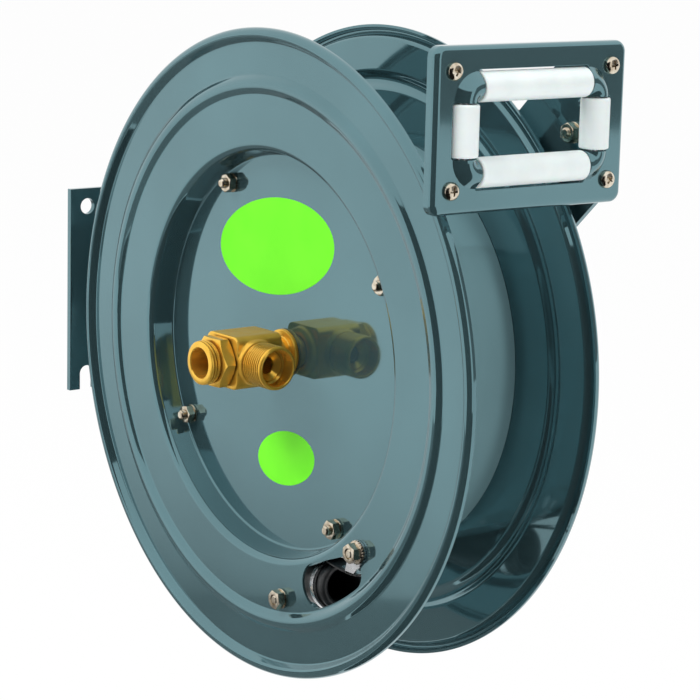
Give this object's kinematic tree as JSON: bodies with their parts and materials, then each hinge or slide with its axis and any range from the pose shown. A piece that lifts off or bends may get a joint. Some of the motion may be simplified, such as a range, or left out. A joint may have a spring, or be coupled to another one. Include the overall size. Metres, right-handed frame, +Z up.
{
  "type": "spring-return hose reel",
  "caption": "Wall-mounted spring-return hose reel with pressed discs, a water swivel on the axle and a four-roller hose guide on an arm.",
  "frame": {"origin": "back face of the wall flange, at the height of the drum's axis and in the middle of the drum's width", "axes": "+X away from the wall towards the hose guide, +Y along the drum's axis towards the bracket, +Z up; the water inlet is on the -Y side"},
  "size_m": [0.511, 0.2142, 0.496],
  "materials": {
    "paint": "glossy powder coat",
    "brass": "forged faces satin, turned faces polished",
    "steel": "bright steel",
    "plated_steel": "yellow passivated zinc",
    "rubber": "moulded black rubber",
    "nylon": "white nylon, lightly polished",
    "bronze": "sintered bronze"
  },
  "bodies": {
    "frame": {"wall_bracket": "paint", "guide_arm": "paint", "axle": "steel", "axle_clip": "steel", "hub_bolt_1": "plated_steel", "hub_bolt_2": "plated_steel", "hub_bolt_3": "plated_steel", "hub_nut_1": "plated_steel", "hub_nut_2": "plated_steel", "hub_nut_3": "plated_steel", "pawl_pin": "steel", "pawl_nut": "plated_steel", "arm_bolt_1": "plated_steel", "arm_bolt_2": "plated_steel", "arm_nut_1": "plated_steel", "arm_nut_2": "plated_steel", "guide_front_plate": "paint", "guide_back_plate": "paint", "guide_screw_1": "plated_steel", "guide_screw_2": "plated_steel", "guide_screw_3": "plated_steel", "guide_screw_4": "plated_steel", "pin_top": "steel", "pin_bottom": "steel", "pin_left": "steel", "pin_right": "steel"},
    "drum": {"near_disc": "paint", "far_disc": "paint", "drum_core": "paint", "tie_bolt_1": "plated_steel", "tie_bolt_2": "plated_steel", "tie_bolt_3": "plated_steel", "tie_bolt_4": "plated_steel", "tie_nut_1": "plated_steel", "tie_nut_2": "plated_steel", "tie_nut_3": "plated_steel", "tie_nut_4": "plated_steel", "spring_case": "steel", "spring_cover": "steel", "power_spring": "steel", "hub_sleeve": "steel", "bush_far": "bronze", "bush_near": "bronze", "ratchet_wheel": "steel", "inlet_stem": "brass", "stem_seal": "rubber", "feed_elbow": "brass", "hose_stub": "rubber", "hose_clip": "steel", "rim_bolt": "plated_steel", "clip_bolt": "plated_steel"},
    "swivel": {"swivel_body": "brass", "inlet_nipple": "brass"},
    "pawl": {"pawl": "steel"},
    "roller_top": {"roller_top": "nylon"},
    "roller_bottom": {"roller_bottom": "nylon"},
    "roller_left": {"roller_left": "nylon"},
    "roller_right": {"roller_right": "nylon"}
  },
  "joints": [
    {"name": "drum_spin", "type": "hinge", "parent": "frame", "child": "drum", "pos_m": [0.265, 0, 0], "axis": [0, 1, 0], "range_deg": [0, 5490], "stiffness_Nm_per_rad": 0.12, "springref_deg": -360},
    {"name": "swivel_turn", "type": "hinge", "parent": "frame", "child": "swivel", "pos_m": [0.265, -0.07, 0], "axis": [0, 1, 0], "continuous": true},
    {"name": "pawl_swing", "type": "hinge", "parent": "frame", "child": "pawl", "pos_m": [0.19745, 0.0431, 0.039], "axis": [0, 1, 0], "range_deg": [0, 10]},
    {"name": "roller_top_spin", "type": "hinge", "parent": "frame", "child": "roller_top", "pos_m": [0.493, 0, 0.222], "axis": [0, 1, 0], "continuous": true},
    {"name": "roller_bottom_spin", "type": "hinge", "parent": "frame", "child": "roller_bottom", "pos_m": [0.493, 0, 0.164], "axis": [0, 1, 0], "continuous": true},
    {"name": "roller_left_spin", "type": "hinge", "parent": "frame", "child": "roller_left", "pos_m": [0.493, -0.06, 0.193], "axis": [0, 0, 1], "continuous": true},
    {"name": "roller_right_spin", "type": "hinge", "parent": "frame", "child": "roller_right", "pos_m": [0.493, 0.06, 0.193], "axis": [0, 0, 1], "continuous": true}
  ]
}
